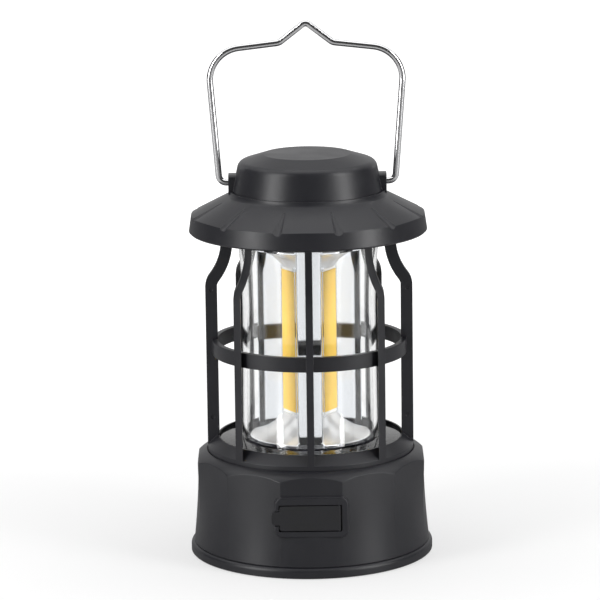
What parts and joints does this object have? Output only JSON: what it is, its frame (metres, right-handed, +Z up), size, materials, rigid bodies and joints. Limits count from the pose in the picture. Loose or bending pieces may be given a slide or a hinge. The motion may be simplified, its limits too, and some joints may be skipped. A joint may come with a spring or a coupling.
{
  "type": "camping lantern",
  "caption": "Rechargeable camping lantern: faceted base, barred guard around a clear tube with a three-arm reflector, panelled roof, wire bail handle and a charging port flap.",
  "frame": {"origin": "centre of the foot, on the surface that the lantern stands on", "axes": "+Z up along the lantern, -Y to the front with the charging port, X along the bail's pivot"},
  "size_m": [0.0904, 0.0904, 0.1989],
  "materials": {
    "black_plastic": "fine matt grain",
    "black_rubber": "matt",
    "clear_plastic": "clear",
    "bright_reflector": "mirror",
    "phosphor": "satin",
    "light_board": "white solder mask",
    "circuit_board": "gloss",
    "screw_steel": "plated",
    "socket_steel": "plated",
    "cell_wrap": "shrink wrap",
    "lead_wire": "satin",
    "bail_chrome": "bright plated",
    "switch_plastic": "satin"
  },
  "bodies": {
    "lantern": {"base_housing": "black_plastic", "battery_cell": "cell_wrap", "battery_leads": "lead_wire", "board_screws": "screw_steel", "bottom_cover": "black_plastic", "bottom_screws": "screw_steel", "cage": "black_plastic", "cage_screws": "screw_steel", "cage_top_screws": "screw_steel", "control_board": "circuit_board", "crown": "black_plastic", "crown_screws": "screw_steel", "foot_pads": "black_rubber", "led_board_left": "light_board", "led_board_rear": "light_board", "led_board_right": "light_board", "led_leads": "lead_wire", "led_strip_left": "phosphor", "led_strip_rear": "phosphor", "led_strip_right": "phosphor", "lens": "clear_plastic", "lens_seal": "black_rubber", "reflector": "bright_reflector", "reflector_base": "black_plastic", "reflector_screws": "screw_steel", "roof": "black_plastic", "switch_board": "circuit_board", "switch_body": "switch_plastic", "switch_screws": "screw_steel", "usb_socket": "socket_steel"},
    "bail": {"bail": "bail_chrome"},
    "flap": {"port_cover": "black_rubber"},
    "button": {"power_button": "black_plastic", "switch_plunger": "switch_plastic"}
  },
  "joints": [
    {"name": "bail_swing", "type": "hinge", "parent": "lantern", "child": "bail", "pos_m": [0, 0, 0.1392], "axis": [1, 0, 0], "range_deg": [-105, 105]},
    {"name": "flap_hinge", "type": "hinge", "parent": "lantern", "child": "flap", "pos_m": [0.01, -0.0422, 0.02245], "axis": [0, 0, 1], "range_deg": [0, 95]},
    {"name": "button_press", "type": "slide", "parent": "lantern", "child": "button", "axis": [0, -1, 0], "range_m": [0, 0.001], "stiffness_N_per_m": 2500}
  ]
}
